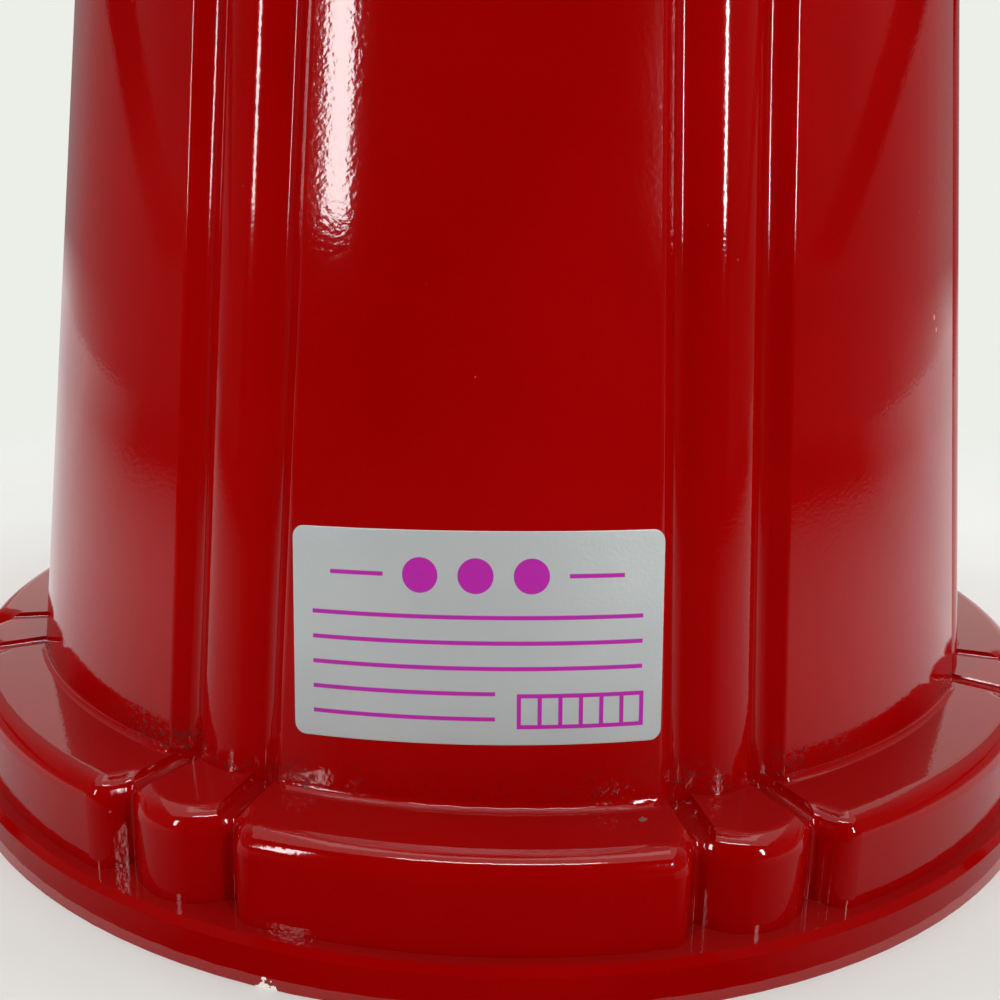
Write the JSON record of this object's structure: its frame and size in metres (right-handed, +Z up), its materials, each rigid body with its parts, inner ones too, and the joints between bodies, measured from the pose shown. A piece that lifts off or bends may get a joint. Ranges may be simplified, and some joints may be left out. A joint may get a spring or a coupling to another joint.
{
  "type": "gumball machine",
  "caption": "Coin-worked gumball machine: panelled cast base with a turning handle, dispensing wheel and chute door, a glass globe and a domed lid.",
  "frame": {"origin": "middle of the foot's underside, on the machine's upright axis", "axes": "+Z up along the tie rod, +Y towards the smooth back panel, -Y towards the coin plate and chute door"},
  "size_m": [0.165, 0.1777, 0.2844],
  "materials": {
    "red_paint": "thick gloss paint over a die casting",
    "chrome": "bright plated",
    "steel": "zinc plated",
    "black_plastic": "moulded, fine texture",
    "white_plastic": "moulded, satin gloss",
    "brass": "machined",
    "rubber": "matt",
    "glass": "clear, polished"
  },
  "bodies": {
    "base": {"base_casting": "red_paint", "bottom_plate": "steel", "rod_washer": "steel", "rod_nut": "steel", "tie_rod": "steel", "hopper_pan": "black_plastic", "pan_screws": "steel", "ball_guard": "steel", "guard_screws": "steel", "ball_chute": "black_plastic", "mech_plate": "chrome", "plate_screws": "steel", "coin_housing": "black_plastic", "pawl_spring": "steel", "chute_frame": "chrome", "frame_screws": "steel", "door_pin": "steel", "globe_gasket": "rubber"},
    "knob": {"knob": "chrome", "knob_screw": "steel", "drive_shaft": "steel", "coin_drum": "black_plastic", "ratchet_wheel": "steel", "drive_pinion": "white_plastic", "shaft_clip": "steel"},
    "wheel": {"dispensing_wheel": "white_plastic", "wheel_gear": "white_plastic", "wheel_bush": "brass", "agitator": "white_plastic"},
    "door": {"chute_door": "chrome"},
    "globe": {"globe": "glass"},
    "lid": {"lid": "red_paint", "lid_gasket": "rubber"},
    "lid_knob": {"lid_knob": "chrome", "lid_knob_insert": "brass"}
  },
  "joints": [
    {"name": "knob_turn", "type": "hinge", "parent": "base", "child": "knob", "pos_m": [0, -0.0725, 0.10027], "axis": [0, 1, 0], "continuous": true},
    {"name": "wheel_turn", "type": "hinge", "parent": "base", "child": "wheel", "pos_m": [0, 0, 0.118], "axis": [0, 0, 1], "continuous": true},
    {"name": "door_swing", "type": "hinge", "parent": "base", "child": "door", "pos_m": [0, -0.0756, 0.0576], "axis": [-1, 0, 0], "range_deg": [0, 75]},
    {"name": "globe_lift", "type": "slide", "parent": "base", "child": "globe", "axis": [0, 0, 1], "range_m": [0, 0.05]},
    {"name": "lid_lift", "type": "slide", "parent": "globe", "child": "lid", "axis": [0, 0, 1], "range_m": [0, 0.05]},
    {"name": "lid_knob_turn", "type": "hinge", "parent": "lid", "child": "lid_knob", "pos_m": [0, 0, 0.2782], "axis": [0, 0, 1], "continuous": true}
  ],
  "couplings": [
    {"joint": "wheel_turn", "follows": "knob_turn", "ratio": 0.16667}
  ]
}
